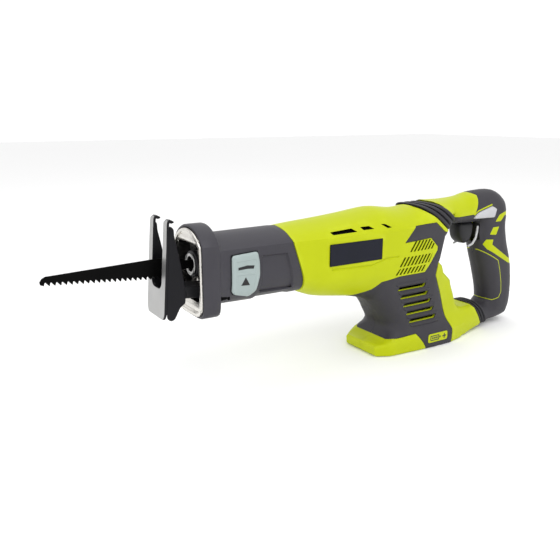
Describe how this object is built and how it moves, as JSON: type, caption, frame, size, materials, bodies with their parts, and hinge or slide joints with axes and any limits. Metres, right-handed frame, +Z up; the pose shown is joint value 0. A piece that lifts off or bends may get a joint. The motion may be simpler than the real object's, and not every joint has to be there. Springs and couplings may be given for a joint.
{
  "type": "cordless reciprocating saw",
  "caption": "Cordless reciprocating saw with a lime and dark grey D-handle body, boot-covered nose, tilting forked shoe and toothed blade, without its battery.",
  "frame": {"origin": "on the underside of the battery socket's flange, on the symmetry plane, 4 mm ahead of the flange's rear edge", "axes": "+X from the blade towards the handle, +Y the tool's right side, +Z up"},
  "size_m": [0.535, 0.0698, 0.1585],
  "materials": {
    "lime": "satin, fine grain",
    "overmold": "matt",
    "boot": "matt",
    "isolator": "matt",
    "black_plastic": "matt",
    "grey_plastic": "satin",
    "white_plastic": "satin",
    "cast_alloy": "as cast",
    "bright_steel": "brushed",
    "shoe_steel": "brushed face, dark sides",
    "dark_steel": "black oxide",
    "blade_black": "black coating",
    "bronze": "plain",
    "copper": "plain",
    "cable_red": "insulation",
    "cable_black": "insulation"
  },
  "bodies": {
    "saw": {"housing_left": "lime", "housing_right": "lime", "handle_left": "lime", "handle_right": "lime", "foot_badge_left": "lime", "foot_badge_right": "lime", "overmold_left": "overmold", "overmold_right": "overmold", "grip_left": "overmold", "grip_right": "overmold", "nose_boot": "boot", "upper_isolator": "isolator", "lower_isolator": "isolator", "name_plate_left": "black_plastic", "name_plate_right": "black_plastic", "motor_end_cap": "black_plastic", "switch_module": "black_plastic", "battery_socket": "black_plastic", "gearbox_cover": "cast_alloy", "gearbox_housing": "cast_alloy", "gear_axle": "bright_steel", "motor_can": "bright_steel", "motor_front_bearing": "bright_steel", "motor_rear_bearing": "bright_steel", "shoe_pivot_pin": "bright_steel", "housing_screw_1": "dark_steel", "housing_screw_2": "dark_steel", "housing_screw_3": "dark_steel", "housing_screw_4": "dark_steel", "housing_screw_5": "dark_steel", "handle_screw_1": "dark_steel", "handle_screw_2": "dark_steel", "carbon_brush_upper": "dark_steel", "carbon_brush_lower": "dark_steel", "shoe_bracket": "dark_steel", "front_bushing": "bronze", "rear_bushing": "bronze", "terminal_positive": "copper", "terminal_negative": "copper", "lead_positive": "cable_red", "lead_negative": "cable_black", "lead_motor": "cable_black"},
    "plunger": {"plunger": "bright_steel", "clamp_body": "bright_steel", "clamp_spring": "dark_steel", "clamp_pin": "dark_steel"},
    "clamp_sleeve": {"clamp_sleeve": "cast_alloy"},
    "blade": {"blade": "blade_black"},
    "armature": {"motor_shaft": "bright_steel", "rotor_core": "dark_steel", "commutator": "copper", "motor_fan": "black_plastic", "motor_pinion": "bright_steel"},
    "drive_gear": {"drive_gear": "bright_steel", "crank_pin": "bright_steel"},
    "release_lever": {"release_lever": "grey_plastic"},
    "shoe": {"shoe": "shoe_steel"},
    "trigger": {"trigger": "black_plastic"},
    "lock_button": {"lock_button": "white_plastic"}
  },
  "joints": [
    {"name": "plunger_stroke", "type": "slide", "parent": "saw", "child": "plunger", "axis": [1, 0, 0], "range_m": [-0.011, 0.011]},
    {"name": "sleeve_turn", "type": "hinge", "parent": "plunger", "child": "clamp_sleeve", "pos_m": [-0.244, 0, 0.1165], "axis": [-1, 0, 0], "range_deg": [0, 18]},
    {"name": "blade_release", "type": "slide", "parent": "plunger", "child": "blade", "axis": [-1, 0, 0], "range_m": [0, 0.03]},
    {"name": "motor_spin", "type": "hinge", "parent": "saw", "child": "armature", "pos_m": [-0.114, 0, 0.10145], "axis": [1, 0, 0], "continuous": true},
    {"name": "gear_spin", "type": "hinge", "parent": "saw", "child": "drive_gear", "pos_m": [-0.129, 0, 0.0903], "axis": [0, 0, 1], "continuous": true},
    {"name": "lever_lift", "type": "hinge", "parent": "saw", "child": "release_lever", "pos_m": [-0.223, 0, 0.127], "axis": [-1, 0, 0], "range_deg": [0, 18], "stiffness_Nm_per_rad": 0.15, "springref_deg": -11.46},
    {"name": "shoe_tilt", "type": "hinge", "parent": "saw", "child": "shoe", "pos_m": [-0.277, 0, 0.095], "axis": [0, 1, 0], "range_deg": [-20, 12]},
    {"name": "trigger_pull", "type": "slide", "parent": "saw", "child": "trigger", "axis": [1, 0, 0], "range_m": [0, 0.006], "stiffness_N_per_m": 600, "springref_m": -0.003},
    {"name": "lock_button_push", "type": "slide", "parent": "saw", "child": "lock_button", "axis": [0, 1, 0], "range_m": [0, 0.004], "stiffness_N_per_m": 400, "springref_m": -0.002}
  ],
  "couplings": [
    {"joint": "sleeve_turn", "follows": "lever_lift", "ratio": 1},
    {"joint": "gear_spin", "follows": "motor_spin", "ratio": 0.2}
  ]
}
